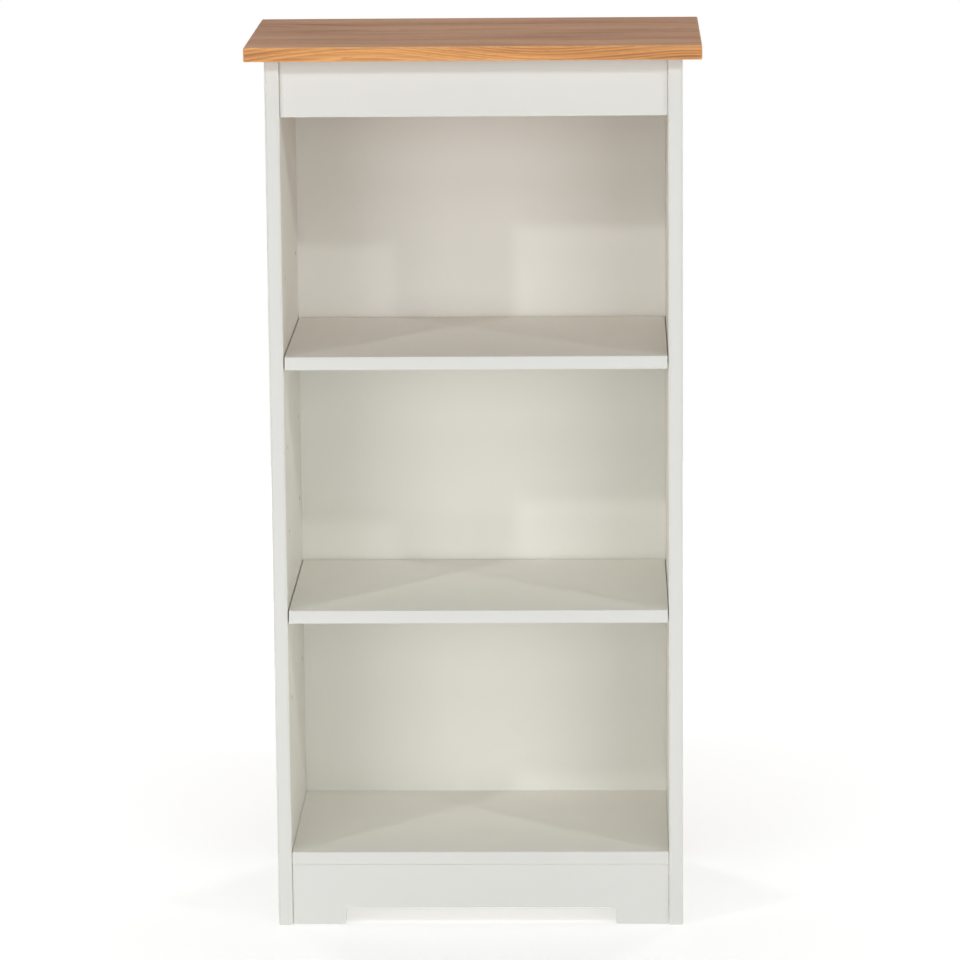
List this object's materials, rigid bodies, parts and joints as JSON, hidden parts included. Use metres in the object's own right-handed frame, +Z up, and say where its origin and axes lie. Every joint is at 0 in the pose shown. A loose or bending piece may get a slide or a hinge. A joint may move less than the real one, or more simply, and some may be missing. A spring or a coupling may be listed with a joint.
{
  "type": "narrow bookcase",
  "caption": "Narrow free-standing bookcase with an oak top, a white board case, loose shelves on pins and a plinth on two feet.",
  "frame": {"origin": "On the floor, under the middle of the top board's outline", "axes": "+Z up, +Y from the open front towards the wall, +X to the right seen from the front"},
  "size_m": [0.5, 0.3, 1],
  "materials": {
    "white_board": "satin white foil on particle board",
    "oak_board": "satin lacquered oak veneer",
    "white_hardboard": "matt white painted hardboard",
    "zinc_alloy": "as-cast zinc alloy",
    "plated_steel": "zinc plated",
    "beech": "unfinished beech",
    "white_plastic": "matt moulded plastic"
  },
  "bodies": {
    "case": {"back_panel": "white_hardboard", "back_panel_nail_1": "plated_steel", "back_panel_nail_2": "plated_steel", "back_panel_nail_3": "plated_steel", "back_panel_nail_4": "plated_steel", "bottom_shelf": "white_board", "cam_bolt_bottom_front_left": "plated_steel", "cam_bolt_bottom_front_right": "plated_steel", "cam_bolt_bottom_rear_left": "plated_steel", "cam_bolt_bottom_rear_right": "plated_steel", "cam_bolt_header_left": "plated_steel", "cam_bolt_header_right": "plated_steel", "cam_bolt_plinth_left": "plated_steel", "cam_bolt_plinth_right": "plated_steel", "cam_bolt_top_front_left": "plated_steel", "cam_bolt_top_front_right": "plated_steel", "cam_bolt_top_rear_left": "plated_steel", "cam_bolt_top_rear_right": "plated_steel", "cam_lock_bottom_front_left": "zinc_alloy", "cam_lock_bottom_front_right": "zinc_alloy", "cam_lock_bottom_rear_left": "zinc_alloy", "cam_lock_bottom_rear_right": "zinc_alloy", "cam_lock_header_left": "zinc_alloy", "cam_lock_header_right": "zinc_alloy", "cam_lock_plinth_left": "zinc_alloy", "cam_lock_plinth_right": "zinc_alloy", "cam_lock_top_front_left": "zinc_alloy", "cam_lock_top_front_right": "zinc_alloy", "cam_lock_top_rear_left": "zinc_alloy", "cam_lock_top_rear_right": "zinc_alloy", "dowel_bottom_left": "beech", "dowel_bottom_right": "beech", "dowel_header_left": "beech", "dowel_header_right": "beech", "dowel_plinth_left": "beech", "dowel_plinth_right": "beech", "dowel_top_left": "beech", "dowel_top_right": "beech", "header_rail": "white_board", "left_side_panel": "white_board", "lower_shelf_pin_front_left": "white_plastic", "lower_shelf_pin_front_right": "white_plastic", "lower_shelf_pin_rear_left": "white_plastic", "lower_shelf_pin_rear_right": "white_plastic", "plinth_rail": "white_board", "right_side_panel": "white_board", "top_board": "oak_board", "upper_shelf_pin_front_left": "white_plastic", "upper_shelf_pin_front_right": "white_plastic", "upper_shelf_pin_rear_left": "white_plastic", "upper_shelf_pin_rear_right": "white_plastic"},
    "upper_shelf": {"upper_shelf": "white_board"},
    "lower_shelf": {"lower_shelf": "white_board"}
  },
  "joints": [
    {"name": "upper_shelf_pull_out", "type": "slide", "parent": "case", "child": "upper_shelf", "axis": [0, -1, 0], "range_m": [0, 0.295]},
    {"name": "lower_shelf_pull_out", "type": "slide", "parent": "case", "child": "lower_shelf", "axis": [0, -1, 0], "range_m": [0, 0.295]}
  ]
}
